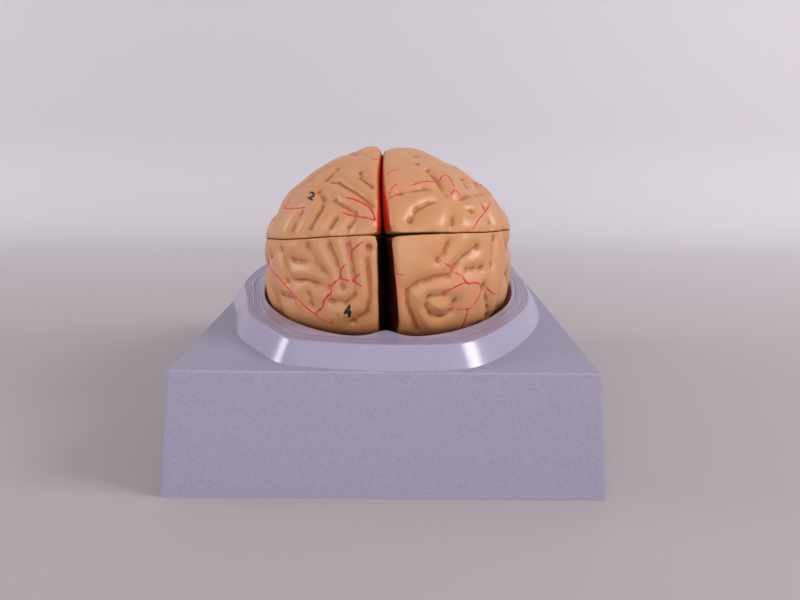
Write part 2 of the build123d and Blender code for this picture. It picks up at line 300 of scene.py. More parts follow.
def rim_reach(node, level):
    """How far the rim's flat top reaches out from the middle, round the turn."""
    mesh = frame["nodes"][node].data
    verts = np.array([vert.co[:] for vert in mesh.vertices])
    sides = np.array([edge.vertices[:] for edge in mesh.edges])
    flat = np.abs(verts[:, 2] - level) < 1e-5
    starts, ends = verts[sides[flat[sides].all(1)]][:, :, :2].transpose(1, 0, 2)
    outer = []
    for k in range(contour_samples):
        turn = -math.pi + 2 * math.pi * k / contour_samples
        ray = np.array((math.cos(turn), math.sin(turn)))
        start_off = starts[:, 0] * ray[1] - starts[:, 1] * ray[0]
        end_off = ends[:, 0] * ray[1] - ends[:, 1] * ray[0]
        crossed = start_off * end_off < 0
        share = (start_off / (start_off - end_off + 1e-12))[crossed, None]
        outer.append((((1 - share) * starts[crossed] + share * ends[crossed]) @ ray).max())
    return np.array(outer)


def round_average(values, half_span):
    """Average of values round a closed ring, over a span to each side."""
    return sum(np.roll(values, k) for k in range(-half_span, half_span + 1)) / (2 * half_span + 1)


# The contours' darker colour is dust and painted shade in the steps.
cut_step = moulded_abs("cutter_marked_abs", contour_dust_and_shade_colour, contour_dust_and_shade_colour, 0.5, mould_grain)[0]
rim_outer = round_average(rim_reach("skull_base_cup", rim_level), 3)
turns = -math.pi + 2 * math.pi * np.arange(contour_samples) / contour_samples
contours = []
for k in range(contour_count):
    waves = sum(share * np.sin(count * turns + lag * k) for count, lag, share in contour_waves)
    wander = contour_wander * waves * k / contour_wander_full_line
    reach = rim_outer - contour_first_inset - k * contour_pitch + wander
    level = rim_level - contour_sink * contour_half_width
    contours.append(
        [
            ((r * math.cos(t), r * math.sin(t), level), contour_half_width)
            for r, t in zip(reach, turns)
        ]
    )
rim_contours = lines_piece("rim_contours", contours, cut_step, closed=True)
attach(rim_contours, "root")

# Brain lobes: four soft vinyl pieces, each slush-cast in one from flesh-coloured PVC paste, with a
# brown wash in the furrows that is partly the model's own tint and partly painted shade of the
# creases.
# Their midline faces carry painted light: a red glow high up and near-black shade low down. They were
# cut
# apart by hand: the seam tilts, waves and gapes at the nape's right, and the halves all but meet
# inside the midline gap.
vinyl_colour = "C08354"
vinyl_pale_colour = "C89063"
vinyl_cloud_size = 0.022
# The skin's real grain is finer than this too.
vinyl_grain = 0.0014
# The furrow wash: partly the model's own brown tint, partly painted shade of the creases.
furrow_wash_and_shade_colour = "A4561F"
blush_colour = "D97F70"
# Midline faces: a red painted glow of light between the halves on the upper lobes, near-black painted
# shade of the deep gap on the lower ones.
upper_midline_glow_colour = "C8341A"
lower_midline_shade_colour = "4E140E"
casting_voxel = 0.00072
relief_rounds = 100
valley_rounds = (4, 50)
valley_reach = 5
valley_least, valley_full = 0.00005, 0.00026
crease_edge, crease_bottom = 0.58, 1.0
furrow_full_depth = 0.0012
furrow_narrowing = 1.3
crown_flattening = 0.3
crown_full_height = 0.0006
crease_depth = 0.0009
wash_and_shade_spread = 2
ripple_height = 0.0002
ripple_size = 0.009
midline_reach = 0.012
midline_facing = 0.9
midline_paint_blend = 4
brain_middle = np.array((0.0, 0.002, 0.0985))
seam_normal = np.array(frame["record"]["behaviour"]["joints"][0]["axis"])
seam_forward = np.cross(seam_normal, (1, 0, 0))
brain_roll = 0.045
seam_roll_reach = 0.028
midline_shift = -0.0012
midline_lean = {"upper": 0.045, "lower": 0.07}
midline_roll_reach = 0.014
midline_gap, midline_gap_to_nape, midline_gap_to_base = 0.0028, 0.03, 0.09
closed_gap = 0.0005
closing_from, closing_full = -0.074, -0.04
notch_depth_share = 0.16
upper_half_length, upper_height = 0.083, 0.05
cut_wave = 0.0004
cut_wave_length = 0.05
cut_wave_reach = 0.005
seam_fill = 0.0009
seam_fill_reach = 0.0013
seam_closing = 0.00015
gape_upper, gape_lower = 0.0003, 0.0009
gape_length = 0.034
gape_from, gape_full = 0.03, 0.07
corner_reach = 0.0045
edge_softness = 0.7
edge_full_drop = 0.001


def side_of(name):
    return -1 if "left" in name else 1


def ripple_tree():
    """Cast vinyl's uneven skin: sharp creases and a slow ripple, along the normals."""
    tree, given = new_tree(
        "cast_vinyl_skin",
        {
            "Crease Depth": ("NodeSocketFloat", 0.001),
            "Ripple Height": ("NodeSocketFloat", 0.0002),
            "Ripple Size": ("NodeSocketFloat", 0.01),
            "Material": ("NodeSocketMaterial", None),
        },
    )
    furrow = add_node(
        tree, "GeometryNodeInputNamedAttribute", {"data_type": "FLOAT", "Name": "furrow"}
    )
    sink = add_node(
        tree,
        "ShaderNodeMath",
        {"operation": "MULTIPLY"},
        {0: furrow.outputs["Attribute"], 1: given["Crease Depth"]},
    )
    finer = add_node(
        tree, "ShaderNodeMath", {"operation": "DIVIDE", 0: 1.0}, {1: given["Ripple Size"]}
    )
    noise = add_node(tree, "ShaderNodeTexNoise", {"Detail": 2.0}, {"Scale": finer.outputs[0]})
    centred = add_node(
        tree, "ShaderNodeMath", {"operation": "SUBTRACT", 1: 0.5}, {0: noise.outputs[0]}
    )
    swell = add_node(
        tree,
        "ShaderNodeMath",
        {"operation": "MULTIPLY"},
        {0: centred.outputs[0], 1: given["Ripple Height"]},
    )
    height = add_node(
        tree, "ShaderNodeMath", {"operation": "SUBTRACT"}, {0: swell.outputs[0], 1: sink.outputs[0]}
    )
    offset = add_node(
        tree,
        "ShaderNodeVectorMath",
        {"operation": "SCALE"},
        {0: add_node(tree, "GeometryNodeInputNormal").outputs[0], "Scale": height.outputs[0]},
    )
    moved = add_node(
        tree,
        "GeometryNodeSetPosition",
        {},
        {"Geometry": given["Geometry"], "Offset": offset.outputs[0]},
    )
    end_tree(tree, moved.outputs[0], given["Material"])
    return tree


def cast_vinyl(name, flesh, pale, midline_painted_light_colour):
    """Cast PVC vinyl: waxy and slightly see-through, mottled, with washes rubbed into it: brown in the
    furrows, partly painted shade; pink by the arteries; and painted light on the midline faces.
    """
    material, tree, shader, place = new_material(
        name,
        {
            "Roughness": 0.4,
            "IOR": 1.53,
            "Subsurface Weight": 0.15,
            "Subsurface Scale": 0.004,
            "Subsurface Radius": (1.0, 0.4, 0.2),
        },
    )
    clouds = add_node(
        tree,
        "ShaderNodeTexNoise",
        {"Scale": 1 / vinyl_cloud_size, "Detail": 3.0, "Roughness": 0.5},
        {"Vector": place},
    )
    colour = add_node(
        tree,
        "ShaderNodeMix",
        {"data_type": "RGBA", 6: srgb(flesh), 7: srgb(pale)},
        {0: clouds.outputs[0]},
    ).outputs[2]
    for attribute, paint_and_light, strength in (
        ("wash_and_shade", furrow_wash_and_shade_colour, 0.85),
        ("blush", blush_colour, 0.25),
        ("midline", midline_painted_light_colour, 1.0),
    ):
        amount = add_node(tree, "ShaderNodeAttribute", {"attribute_name": attribute})
        share = add_node(
            tree, "ShaderNodeMath", {"operation": "MULTIPLY", 1: strength}, {0: amount.outputs["Fac"]}
        )
        colour = add_node(
            tree,
            "ShaderNodeMix",
            {"data_type": "RGBA", 7: srgb(paint_and_light)},
            {0: share.outputs[0], 6: colour},
        ).outputs[2]
    grain = add_node(
        tree, "ShaderNodeTexNoise", {"Scale": 1 / vinyl_grain, "Detail": 2.0}, {"Vector": place}
    )
    bump = add_node(
        tree, "ShaderNodeBump", {"Strength": 0.2, "Distance": 0.00012}, {"Height": grain.outputs[0]}
    )
    tree.links.new(colour, shader.inputs["Base Color"])
    tree.links.new(bump.outputs[0], shader.inputs["Normal"])
    return material


def merged_copy(node, name):
    """A copy of a CAD node whose loose triangles are merged into one skin."""
    shape = bmesh.new()
    shape.from_mesh(frame["nodes"][node].data)
    bmesh.ops.remove_doubles(shape, verts=shape.verts, dist=1e-6)
    shape.verts.index_update()
    mesh = bpy.data.meshes.new(name)
    corners = [[vert.index for vert in face.verts] for face in shape.faces]
    mesh.from_pydata([vert.co[:] for vert in shape.verts], [], corners)
    shape.free()
    return add_piece(name, mesh)


def mesh_arrays(mesh):
    """A mesh's points, normals and edges as arrays."""
    points = np.empty(3 * len(mesh.vertices))
    normals = np.empty(3 * len(mesh.vertices))
    edges = np.empty(2 * len(mesh.edges), int)
    mesh.vertices.foreach_get("co", points)
    mesh.vertices.foreach_get("normal", normals)
    mesh.edges.foreach_get("vertices", edges)
    return points.reshape(-1, 3), normals.reshape(-1, 3), edges.reshape(-1, 2)


def relaxed(values, edges, rounds):
    """Values of the points after rounds of moving half way to their neighbours' average."""
    a, b = edges.T
    count = len(values)
    neighbours = np.bincount(a, minlength=count) + np.bincount(b, minlength=count)
    for _ in range(rounds):
        sums = [
            np.bincount(a, column[b], count) + np.bincount(b, column[a], count)
            for column in values.T
        ]
        values = 0.5 * values + 0.5 * np.stack(sums, 1) / neighbours[:, None]
    return values


def widened(values, edges, rounds):
    """Values after rounds in which each point takes the largest value next to it."""
    for _ in range(rounds):
        largest = values.copy()
        np.maximum.at(largest, edges[:, 0], values[edges[:, 1]])
        np.maximum.at(largest, edges[:, 1], values[edges[:, 0]])
        values = largest
    return values


def creases(sunk, edges):
    """How far each point lies in a crease, which runs along the bottom line of every furrow."""
    fine, coarse = (relaxed(sunk[:, None], edges, rounds)[:, 0] for rounds in valley_rounds)
    valley = np.where(sunk > 0, np.clip(fine - coarse, 0, None), 0)
    widest = widened(valley, edges, valley_reach)
    peak = relaxed(widest[:, None], edges, 2 * valley_reach)[:, 0]
    strength = np.clip((peak - valley_least) / (valley_full - valley_least), 0, 1)
    nearness = (valley / (peak + 1e-6) - crease_edge) / (crease_bottom - crease_edge)
    line = np.clip(nearness, 0, 1) ** 2
    return relaxed((line * strength)[:, None], edges, 1)[:, 0]


def store(mesh, name, values):
    attribute = mesh.attributes.get(name) or mesh.attributes.new(name, "FLOAT", "POINT")
    attribute.data.foreach_set("value", np.asarray(values, np.float32))


def even_skin(piece):
    """Give a piece one closed skin of even faces."""
    remesh = piece.modifiers.new("even_skin", "REMESH")
    remesh.mode = "VOXEL"
    remesh.voxel_size = casting_voxel
    settle(piece)


def seam_places(points):
    """Places in the brain's own frame: sideways, forward, and over the seam."""
    away = points - brain_middle
    return away[:, 0], away @ seam_forward, away @ seam_normal


def folds_pressed(points, normals, sunk):
    """Points with broader, flatter folds and narrower furrows between them."""
    share = np.clip(sunk / furrow_full_depth, 0, 1)
    lift = furrow_full_depth * (share - share**furrow_narrowing)
    drop = crown_flattening * np.clip(sunk, -crown_full_height, 0)
    return points + (lift + drop)[:, None] * normals


def midline_closing(along, rise, name):
    """How far a lobe's midline face bulges to its fellow: the halves all but meet inside."""
    upper, side = "upper" in name, side_of(name)
    to_base = 0 if upper else midline_gap_to_base
    gap = midline_gap - midline_gap_to_nape * along - to_base * rise
    gap = np.clip(gap - closed_gap, 0, None)
    close = np.clip((along - closing_from) / (closing_full - closing_from), 0, 1)
    buried = 1 - np.hypot(along / upper_half_length, rise / upper_height)
    notch = np.clip(buried / notch_depth_share, 0, 1) if upper else 0
    return gap * (close * (side > 0) + 0.5 * side * notch * (1 - close))


def hand_cut(points, soft_points, normals, sunk, name):
    """A lobe's points as cut and trimmed by hand: soft edges, an uneven seam and midline."""
    side, along, rise = seam_places(points)
    rear = np.clip((-along - gape_from) / (gape_full - gape_from), 0, 1)
    corner = rear * np.exp(-((side / corner_reach) ** 2) - (rise / corner_reach) ** 2)
    drop = np.clip(-sunk / edge_full_drop, 0, 1)
    edge = edge_softness * drop * np.exp(-((side / corner_reach) ** 2))
    edge *= 1 - np.exp(-((rise / corner_reach) ** 2))
    points = points + np.maximum(corner, edge)[:, None] * (soft_points - points)
    outward = normals - (normals @ seam_normal)[:, None] * seam_normal
    fill = seam_fill * (1 - corner) * np.exp(-((rise / seam_fill_reach) ** 2))
    points = points + fill[:, None] * outward
    wave = cut_wave * np.sin(2 * math.pi * along / cut_wave_length)
    near = np.exp(-((rise / cut_wave_reach) ** 2))
    shift = brain_roll * side * np.exp(-((rise / seam_roll_reach) ** 2)) + wave * near
    shift += (-1 if "upper" in name else 1) * seam_closing * near
    lean = midline_lean[name.split("_")[0]] * rise
    aside = (midline_shift * rear - lean) * np.exp(-((side / midline_roll_reach) ** 2))
    if side_of(name) > 0:
        depth = gape_upper if "upper" in name else -gape_lower
        shift += depth * near * rear * np.clip(1 - side / gape_length, 0, 1)
    aside -= midline_closing(along, rise, name) * np.exp(-((side / midline_roll_reach) ** 2))
    aside += wave * np.exp(-((side / cut_wave_reach) ** 2))
    points = points + shift[:, None] * seam_normal
    points[:, 0] += aside
    return points


def cast_piece(node, material, name):
    """A vinyl casting that stands for a CAD node, with its furrows and midline face marked."""
    piece = merged_copy(node, name)
    even_skin(piece)
    points, normals, edges = mesh_arrays(piece.data)
    soft_points = relaxed(points, edges, relief_rounds)
    sunk = ((soft_points - points) * normals).sum(1)
    lines = creases(sunk, edges)
    store(piece.data, "furrow", lines)
    # The wash darkens each crease and a little to its sides: partly brown tint, partly painted shade.
    wash_and_shade = 2 * relaxed(lines[:, None], edges, wash_and_shade_spread)[:, 0]
    store(piece.data, "wash_and_shade", np.clip(wash_and_shade, 0, 1))
    # Faces that turn to the fellow half take the midline's painted light: the glow on upper lobes, the
    # shade on lower and hind pieces.
    facing = normals[:, 0] * -side_of(node) > midline_facing
    midline = facing & (np.abs(points[:, 0]) < midline_reach)
    painted = relaxed(midline.astype(float)[:, None], edges, midline_paint_blend)[:, 0]
    store(piece.data, "midline", painted)
    if "lobe" in node:
        points = folds_pressed(points, normals, sunk)
        points = hand_cut(points, soft_points, normals, sunk, node)
        piece.data.vertices.foreach_set("co", points.ravel())
    run_tree(
        piece,
        cast_vinyl_skin,
        {
            "Crease Depth": crease_depth,
            "Ripple Height": ripple_height,
            "Ripple Size": ripple_size,
            "Material": material,
        },
    )
    piece.data.shade_smooth()
    return piece


def stand_in(piece, node):
    """Let a piece stand for a CAD node, whose own mesh is hidden, and ride on its body."""
    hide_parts(node)
    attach(piece, frame["nodes"][node]["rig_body"])


cast_vinyl_skin = ripple_tree()
# The upper lobes' vinyl paints the midline faces as a red glow, the lower lobes' as near-black shade.
upper_vinyl, lower_vinyl = (
    cast_vinyl(f"slush_cast_vinyl_{word}", vinyl_colour, vinyl_pale_colour, midline_painted_light_colour)
    for word, midline_painted_light_colour in (("upper", upper_midline_glow_colour), ("lower", lower_midline_shade_colour))
)
lobes = {}
for word in ("upper_left", "upper_right", "lower_left", "lower_right"):
    vinyl = upper_vinyl if "upper" in word else lower_vinyl
    lobes[word] = cast_piece(f"{word}_lobe", vinyl, f"{word}_casting")

# Arteries: thin lines of red enamel drawn over the lobes by brush, thicker where they fork, each
# with a faint pink smear. Those in view follow the lines seen, and the rest wander as real ones do.
camera_place = Vector((0.005, -0.349, 0.157))
camera_turn = (
    Matrix.Rotation(math.radians(-0.319), 3, "Z")
    @ Matrix.Rotation(math.radians(90 - 15.52), 3, "X")
    @ Matrix.Rotation(math.radians(0.6), 3, "Z")
)
camera_focus = 610.0
frame_middle = (400.0, 300.0)
artery_red = "B81A24"
artery_bright_red = "CC3038"
stroke_size = 0.003
stroke_end, stroke_taper, stroke_unevenness = 0.35, 5, 0.2
artery_sink = 0.4
artery_step_px = 1.2
artery_jump = 0.006
knot_swell = 0.8
knot_spread_px_squared = 1.6
blush_reach = 0.0026
wander_step = 0.0018
wander_steps = 26
wander_width = 0.36
wander_start_reach = 0.08
bend_kept, bend_spread = 0.7, 0.16
least_even_skin = 0.55
fork_after, fork_chance = 4, 0.11
fork_turn = (0.6, 1.1)
fork_length = (0.3, 0.6)
fork_least_steps = 5
fork_thinning = 0.8
arteries_seen = {
    "upper_left": [
        (0.55, [(345.6, 197.5), (355, 199.7), (367, 205.8), (372.3, 211.8), (375.2, 219.5)]),
        (0.45, [(341.8, 212.3), (353.3, 216), (367, 217.8), (374.9, 220.4)]),
        (0.3, [(371.5, 158.4), (374.5, 160), (378, 159)]),
        (0.38, [(306, 207), (295, 208.5), (283.6, 208.4)]),
        (0.32, [(283.6, 208.4), (287, 204.5), (290.5, 201.5)]),
        (0.32, [(309.8, 182), (311.6, 180.6), (313.7, 178.8)]),
        (0.3, [(275.8, 214.6), (277, 212.8), (279, 211)]),
    ],
    "upper_right": [
        (0.32, [(386.5, 175.6), (389.5, 172.6), (392.5, 170.6), (398, 169.3)]),
        (0.3, [(388.6, 197.5), (390, 192), (392.5, 187.4), (397.2, 183.7)]),
        (0.36, [(388.6, 199.9), (391.6, 197), (396.4, 195.1), (403.8, 194.4)]),
        (0.36, [(409.6, 186.5), (422.2, 181.7), (438.6, 181.1), (441.1, 177.4), (445.5, 175.1),
                (450.6, 179.1), (454.1, 186.8)]),
        (0.42, [(450.6, 194.6), (454.1, 190.3), (457.5, 192), (459.6, 196.3)]),
        (0.34, [(491.6, 200.8), (486.8, 209.4), (479.2, 219), (475.6, 224.7), (472.5, 229.5)]),
        (0.26, [(480, 183.4), (481, 185), (482.4, 186.4)]),
        (0.26, [(486.8, 193), (487.8, 194), (488.9, 195)]),
    ],
    "lower_left": [
        (0.38, [(363.8, 240.6), (358.5, 245), (353.3, 249.2), (351.4, 253), (351.4, 260.2)]),
        (0.34, [(346.6, 264.5), (341.8, 267.8), (340.4, 272.6), (340.4, 277.9)]),
        (0.42, [(340.4, 277.9), (336, 281.2), (331.8, 286), (330.8, 293.2), (328, 295.1),
                (323.7, 301.3), (322.7, 307.1), (318.9, 309.9), (316, 313.5)]),
        (0.42, [(340.4, 277.9), (343.8, 279.5), (349.5, 280.5)]),
        (0.34, [(352.8, 280.3), (355.6, 277), (360.5, 273.6)]),
        (0.38, [(352.8, 280.3), (357, 283.4), (361.9, 286.5)]),
        (0.34, [(265.8, 252.5), (268.5, 257), (270, 267.8), (277.7, 276.4), (283, 282.7),
                (286.8, 287), (296.9, 298), (307.4, 308.5), (316, 314.7), (322.7, 319.5),
                (331.3, 322.6), (333.2, 318.5)]),
    ],
    "lower_right": [
        (0.36, [(444.6, 263), (450.4, 266.9), (451.8, 272.1)]),
        (0.42, [(455, 272.6), (461.8, 276), (466, 281.9), (469, 283.6), (473.3, 282.7), (479, 283.6),
                (481, 288.9), (479, 296.5), (473.3, 305.1)]),
        (0.4, [(466, 281.9), (456, 286.5), (451.3, 288.9), (440.8, 292.2)]),
        (0.36, [(486.2, 287), (490, 291), (495.3, 294.6)]),
        (0.3, [(456, 309), (461.5, 309.2), (467.6, 308.5), (472.8, 307.1)]),
        (0.38, [(467.6, 309.4), (465.7, 318.5), (461.4, 327.6)]),
        (0.32, [(396.2, 274), (399.5, 274.4), (403.5, 275)]),
        (0.28, [(395.2, 262), (396.4, 268.8), (397.6, 274.5)]),
        (0.28, [(396, 283), (397, 292.6), (397.4, 302.2)]),
    ],
}
artery_knots = [(375.2, 219.5, 0.8), (340.4, 277.9, 0.7), (352.8, 280.3, 0.6), (316, 314.2, 0.5),
                (331.3, 322.6, 0.45), (465.7, 282.5, 0.5), (467.6, 309.4, 0.55), (451.8, 272.1, 0.4),
                (328, 295.1, 0.4), (469, 283.6, 0.35), (453.6, 188.5, 0.4)]


def sight(x, y):
    """Direction in which the camera sees a place of the 800 by 600 frame."""
    ray = Vector(((x - frame_middle[0]) / camera_focus, -(y - frame_middle[1]) / camera_focus, -1))
    return (camera_turn @ ray).normalized()


def rounded_path(places, step):
    """Places along a smooth path through the given ones, at about even steps."""
    given = [np.array(place, float) for place in places]
    knots = [2 * given[0] - given[1]] + given + [2 * given[-1] - given[-2]]
    path = []
    for before, a, b, after in zip(knots, knots[1:], knots[2:], knots[3:]):
        count = max(2, round(float(np.linalg.norm(b - a)) / step))
        for k in range(count):
            t = k / count
            path.append(
                0.5 * ((2 * a) + (b - before) * t + (2 * before - 5 * a + 4 * b - after) * t**2
                       + (3 * a - before - 3 * b + after) * t**3)
            )
    return path + [knots[-2]]


def brush_girth(share, width, turn):
    """Half width of a brushed line at a share of its length: uneven, and thin at its ends."""
    ends = min(1, stroke_end + stroke_taper * share, stroke_end + stroke_taper * (1 - share))
    uneven = 1 + stroke_unevenness * math.sin(9 * share * math.pi + turn)
    return 0.001 * width * ends * uneven


def drawn_lines(skin, places, width, turn):
    """Brushed lines on a lobe's skin through places of the frame, parted where the skin jumps back."""
    lines = [[]]
    path = rounded_path(places, artery_step_px)
    for k, (x, y) in enumerate(path):
        spot, normal, face, away = skin.ray_cast(camera_place, sight(x, y))
        if spot is None:
            continue
        if lines[-1] and (spot - lines[-1][-1][0]).length > artery_jump:
            lines.append([])
        girth = brush_girth(k / len(path), width, turn)
        for knot_x, knot_y, knot_size in artery_knots:
            off = (x - knot_x) ** 2 + (y - knot_y) ** 2
            girth += 0.001 * knot_size * knot_swell * math.exp(-off / knot_spread_px_squared)
        lines[-1].append((spot - artery_sink * girth * normal, girth))
    return lines


def wandering_lines(skin, start, heading, steps, width, luck, forks=2):
    """A brushed line that wanders over a lobe's skin from a start, with its forks."""
    spot, normal, face, away = skin.find_nearest(start)
    heading = (heading - heading.dot(normal) * normal).normalized()
    line, lines = [], []
    bend = 0.0
    for k in range(steps):
        girth = brush_girth(k / steps, width, luck.random() * 0.3)
        line.append((spot - artery_sink * girth * normal, girth))
        bend = bend_kept * bend + luck.gauss(0, bend_spread)
        heading = Matrix.Rotation(bend, 3, normal) @ heading
        after, turned, face, away = skin.find_nearest(spot + wander_step * heading)
        if turned.dot(normal) < least_even_skin:
            break
        heading = after - spot
        heading = (heading - heading.dot(turned) * turned).normalized()
        spot, normal = after, turned
        if forks and k > fork_after and luck.random() < fork_chance:
            turn = luck.choice((-1, 1)) * luck.uniform(*fork_turn)
            aside = Matrix.Rotation(turn, 3, normal) @ heading
            reach = max(fork_least_steps, int(luck.uniform(*fork_length) * (steps - k)))
            thinner = fork_thinning * width
            lines += wandering_lines(skin, spot, aside, reach, thinner, luck, forks - 1)
    return lines + [line]


# Starts of the arteries out of view: a direction from the brain's middle and a heading.
artery_starts = {
    "upper": [((0.15, 0.9, 0.6), (0.5, -1, 0.2)), ((0.5, 0.6, 0.7), (1, 0.3, -0.3)),
              ((0.2, 0.2, 1), (1, 0.4, 0)), ((0.9, 0.1, 0.4), (-0.2, 1, 0.4)),
              ((0.8, -0.35, 0.45), (0.1, 0.8, 0.6)), ((0.6, 0.95, 0.25), (-0.6, 0.1, 0.8)),
              ((0.15, -0.1, 1), (0.8, 1, 0))],
    "lower": [((0.7, 0.8, -0.3), (-0.6, 0.6, -0.1)), ((1, 0.1, -0.25), (0.1, 1, -0.2)),
              ((1, -0.4, -0.3), (0, 0.5, -0.6)), ((0.25, 1, -0.3), (1, 0, -0.2)),
              ((0.95, 0.45, -0.15), (0, -0.9, -0.4))],
}
enamel, tree, shader, place = new_material("brushed_red_enamel", {"Roughness": 0.35, "IOR": 1.5})
strokes = add_node(
    tree, "ShaderNodeTexNoise", {"Scale": 1 / stroke_size, "Detail": 2.0}, {"Vector": place}
)
brushed = add_node(
    tree,
    "ShaderNodeMix",
    {"data_type": "RGBA", 6: srgb(artery_red), 7: srgb(artery_bright_red)},
    {0: strokes.outputs[0]},
)
tree.links.new(brushed.outputs[2], shader.inputs["Base Color"])
bpy.context.view_layer.update()
graph = bpy.context.evaluated_depsgraph_get()
skins = {word: BVHTree.FromObject(lobe, graph) for word, lobe in lobes.items()}
luck = random.Random(7)
for word, lobe in lobes.items():
    skin, side = skins[word], side_of(word)
    lines = []
    for k, (width, places) in enumerate(arteries_seen[word]):
        lines += drawn_lines(skin, places, width, 1.3 * k)
    for way, heading in artery_starts[word.split("_")[0]]:
        way = Vector((side * way[0], way[1], way[2])).normalized()
        start = Vector(brain_middle) + wander_start_reach * way
        heading = Vector((side * heading[0], heading[1], heading[2])).normalized()
        lines += wandering_lines(skin, start, heading, wander_steps, wander_width, luck)
    lines = [line for line in lines if len(line) > 2]
    cloud = KDTree(sum(len(line) for line in lines))
    for k, (spot, girth) in enumerate(spot for line in lines for spot in line):
        cloud.insert(spot, k)
    cloud.balance()
    near = np.array([cloud.find(vert.co)[2] for vert in lobe.data.vertices])
    store(lobe.data, "blush", np.exp(-((near / blush_reach) ** 2)))
    arteries = lines_piece(f"{word}_arteries", lines, enamel)
    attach(arteries, frame["nodes"][f"{word}_lobe"]["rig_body"])
    stand_in(lobe, f"{word}_lobe")

# Piece numbers: plain figures printed in black ink on the left lobes, so that the pieces go back
# in order. The ink lies flat on the vinyl.
ink_depth = 0.00008
ink_colour = "0C0A08"
ink_wear_colour = "1E1A16"
ink_wear_size = 0.0015
figures = [
    ("upper_left", "2", (311.4, 196.3), 12.5, 11.0, -28.0),
    ("lower_left", "4", (347.8, 311.5), 14.0, 16.5, 0.0),
]
figure_boldness = 0.04
ink, tree, shader, place = new_material("black_pad_print_ink", {"Roughness": 0.4, "IOR": 1.5})
wear = add_node(
    tree, "ShaderNodeTexNoise", {"Scale": 1 / ink_wear_size, "Detail": 2.0}, {"Vector": place}
)
printed = add_node(
    tree,
    "ShaderNodeMix",
    {"data_type": "RGBA", 6: srgb(ink_colour), 7: srgb(ink_wear_colour)},
    {0: wear.outputs[0]},
)
tree.links.new(printed.outputs[2], shader.inputs["Base Color"])
for word, figure, middle, wide_px, high_px, turn_deg in figures:
    text = bpy.data.curves.new(f"{word}_number", "FONT")
    text.body = figure
    text.align_x = "CENTER"
    text.align_y = "CENTER"
    text.offset = figure_boldness
    flat = add_piece(text.name + "_text", text)
    bpy.context.view_layer.update()
    graph = bpy.context.evaluated_depsgraph_get()
    mesh = bpy.data.meshes.new_from_object(flat.evaluated_get(graph))
    bpy.data.objects.remove(flat)
    shape = bmesh.new()
    shape.from_mesh(mesh)
    bmesh.ops.remove_doubles(shape, verts=shape.verts, dist=1e-5)
    bmesh.ops.subdivide_edges(shape, edges=shape.edges, cuts=2, use_grid_fill=True)
    turn = math.radians(turn_deg)
    for vert in shape.verts:
        x, y = wide_px * vert.co.x, high_px * vert.co.y
        across = x * math.cos(turn) - y * math.sin(turn)
        up = x * math.sin(turn) + y * math.cos(turn)
        spot, normal, face, away = skins[word].ray_cast(
            camera_place, sight(middle[0] + across, middle[1] - up)
        )
        vert.co = spot + ink_depth * normal
    bmesh.ops.triangulate(shape, faces=shape.faces)
    bmesh.ops.solidify(shape, geom=shape.faces, thickness=1.5 * ink_depth)
    bmesh.ops.recalc_face_normals(shape, faces=shape.faces)
    shape.to_mesh(mesh)
    shape.free()
    number = add_piece(text.name, mesh)
    number.data.materials.clear()
    number.data.materials.append(ink)
    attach(number, frame["nodes"][f"{word}_lobe"]["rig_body"])

# Flecks: a brown speck of stray wash by the lower figure, and a dark brown spot at the crown's right
# that is the painted shade of a small pit.
flecks = [
    ("lower_left", "A4552A", 0.36, [(337.4, 312.6), (337.6, 314.0), (337.6, 315.6)]),
    ("upper_right", "8A6A4C", 1.3, [(415.4, 164.2), (417.0, 165.0), (418.6, 164.2)]),
]
for word, colour, width, places in flecks:
    fleck_paint_and_shade = new_material(
        f"{word}_fleck_paint_and_shade", {"Base Color": srgb(colour), "Roughness": 0.5}
    )[0]
    strokes = drawn_lines(skins[word], places, width, 0.0)
    fleck = lines_piece(f"{word}_fleck", strokes, fleck_paint_and_shade)
    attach(fleck, frame["nodes"][f"{word}_lobe"]["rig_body"])

# Cerebellum and brainstem halves: vinyl castings like the lobes, a shade darker and duller, that
# hang on pins under the lower lobes. Their darker colour is partly painted shade, so that they stay
# dark in the gap between the halves, and their midline faces take the near-black painted shade. The
# wash, partly painted shade, lies between the leaves of the cerebellum.
hind_colour_with_shade = "A8705A"
hind_pale_colour_with_shade = "B47E66"
hind_vinyl = cast_vinyl(
    "slush_cast_hind_vinyl", hind_colour_with_shade, hind_pale_colour_with_shade, lower_midline_shade_colour
)
for name in ("left_cerebellum", "right_cerebellum", "left_brainstem", "right_brainstem"):
    stand_in(cast_piece(name, hind_vinyl, f"{name}_casting"), name)

# Locating pins: short cut lengths of ground steel rod with chamfered ends, pressed into the lower
# lobes. They shine where the upper lobes are lifted.
pin_colour = "B9BBBE"
# Real grinding marks are finer than these too.
grinding_lay = 0.0006
pin_steel, tree, shader, place = new_material(
    "ground_steel", {"Base Color": srgb(pin_colour), "Metallic": 1.0, "Roughness": 0.28}
)
lay = add_node(
    tree, "ShaderNodeTexNoise", {"Scale": 1 / grinding_lay, "Detail": 2.0}, {"Vector": place}
)
bump = add_node(
    tree, "ShaderNodeBump", {"Strength": 0.2, "Distance": 0.00003}, {"Height": lay.outputs[0]}
)
tree.links.new(bump.outputs[0], shader.inputs["Normal"])
for name in ("left_lobe_pins", "right_lobe_pins", "hind_pins"):
    dress(name, pin_steel)

